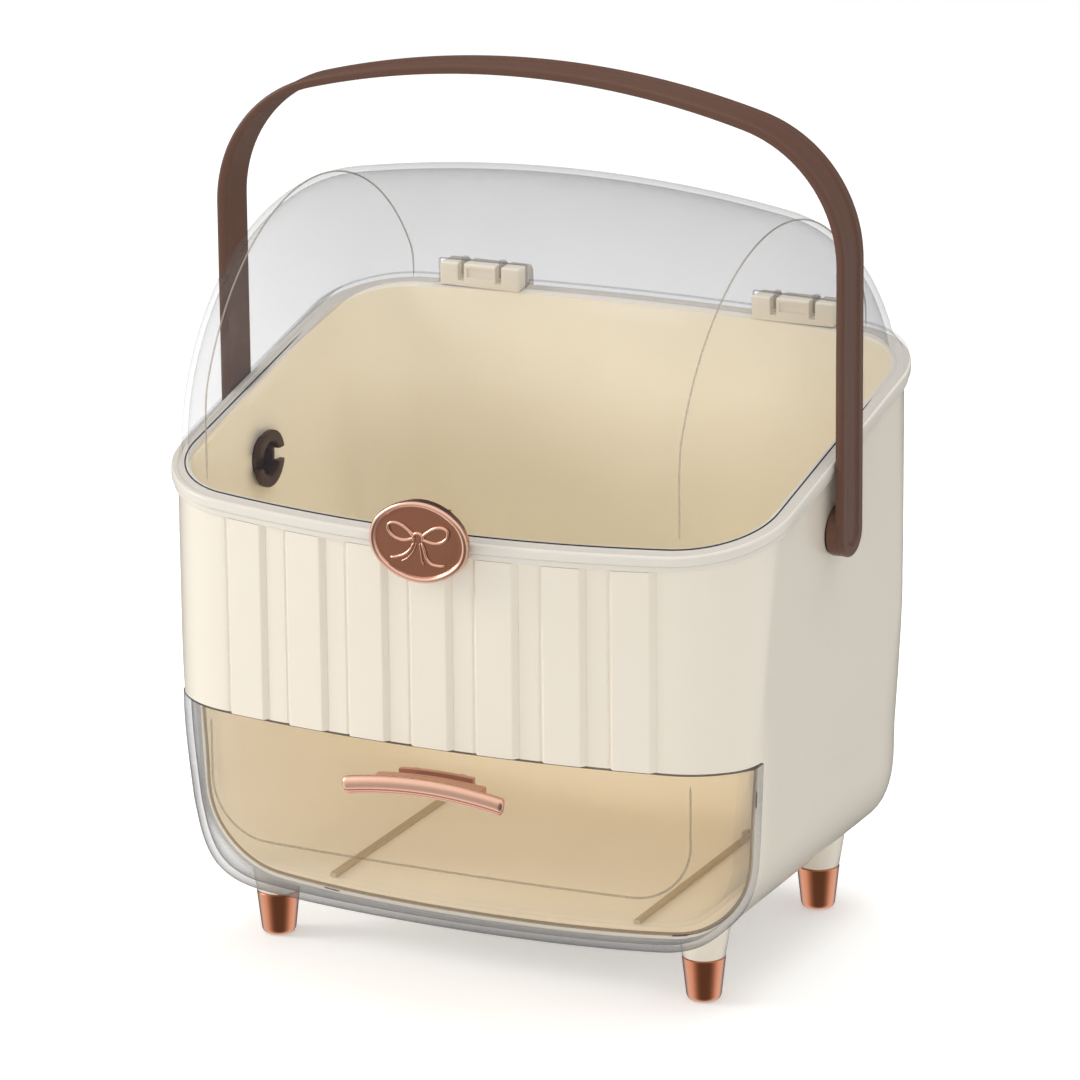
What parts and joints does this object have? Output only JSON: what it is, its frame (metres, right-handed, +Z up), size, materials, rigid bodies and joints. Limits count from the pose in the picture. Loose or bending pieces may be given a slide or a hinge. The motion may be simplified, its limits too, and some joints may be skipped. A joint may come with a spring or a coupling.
{
  "type": "makeup organizer",
  "caption": "Dustproof makeup organizer with a clear domed lid, a clear-fronted drawer, an oval badge, tapered metal feet and a swing handle.",
  "frame": {"origin": "floor under the middle of the whole width and depth, where the feet stand", "axes": "+Z up, +Y towards the back with the hinges, -Y the front with the drawer pull and badge, +X the right side seen from the front"},
  "size_m": [0.246, 0.195, 0.323],
  "materials": {
    "cream": "smooth satin cream ABS",
    "clear": "clear moulded plastic, faintly grey",
    "rose_gold": "polished rose gold plating",
    "taupe": "satin taupe plastic",
    "steel": "plain steel"
  },
  "bodies": {
    "case": {"outer_shell": "cream", "inner_tub": "cream", "bay_liner": "cream", "liner_clips": "taupe", "rail_left": "taupe", "rail_right": "taupe", "foot_front_left": "rose_gold", "foot_front_right": "rose_gold", "foot_rear_left": "rose_gold", "foot_rear_right": "rose_gold", "foot_screws": "steel", "hinge_block_left": "cream", "hinge_block_right": "cream", "hinge_pin_left": "steel", "hinge_pin_right": "steel", "pivot_bush_left": "cream", "pivot_bush_right": "cream"},
    "lid": {"lid_dome": "clear", "badge_plate": "rose_gold", "badge_back": "rose_gold", "badge_bow": "rose_gold", "badge_rivets": "rose_gold"},
    "drawer": {"drawer_front": "clear", "drawer_tray": "clear", "pull_bar": "rose_gold", "pull_plate": "rose_gold", "pull_inner_plate": "rose_gold", "pull_screws": "steel"},
    "handle": {"handle_bail": "taupe", "snap_collar_left": "taupe", "snap_collar_right": "taupe"}
  },
  "joints": [
    {"name": "lid_hinge", "type": "hinge", "parent": "case", "child": "lid", "pos_m": [0, 0.0935, 0.21872], "axis": [-1, 0, 0], "range_deg": [0, 87.5]},
    {"name": "handle_swing", "type": "hinge", "parent": "case", "child": "handle", "pos_m": [0, -0.0005, 0.1655], "axis": [1, 0, 0], "range_deg": [0, 105]},
    {"name": "drawer_slide", "type": "slide", "parent": "case", "child": "drawer", "axis": [0, -1, 0], "range_m": [0, 0.12]}
  ],
  "couplings": [
    {"joint": "handle_swing", "follows": "lid_hinge", "ratio": 1.2}
  ]
}
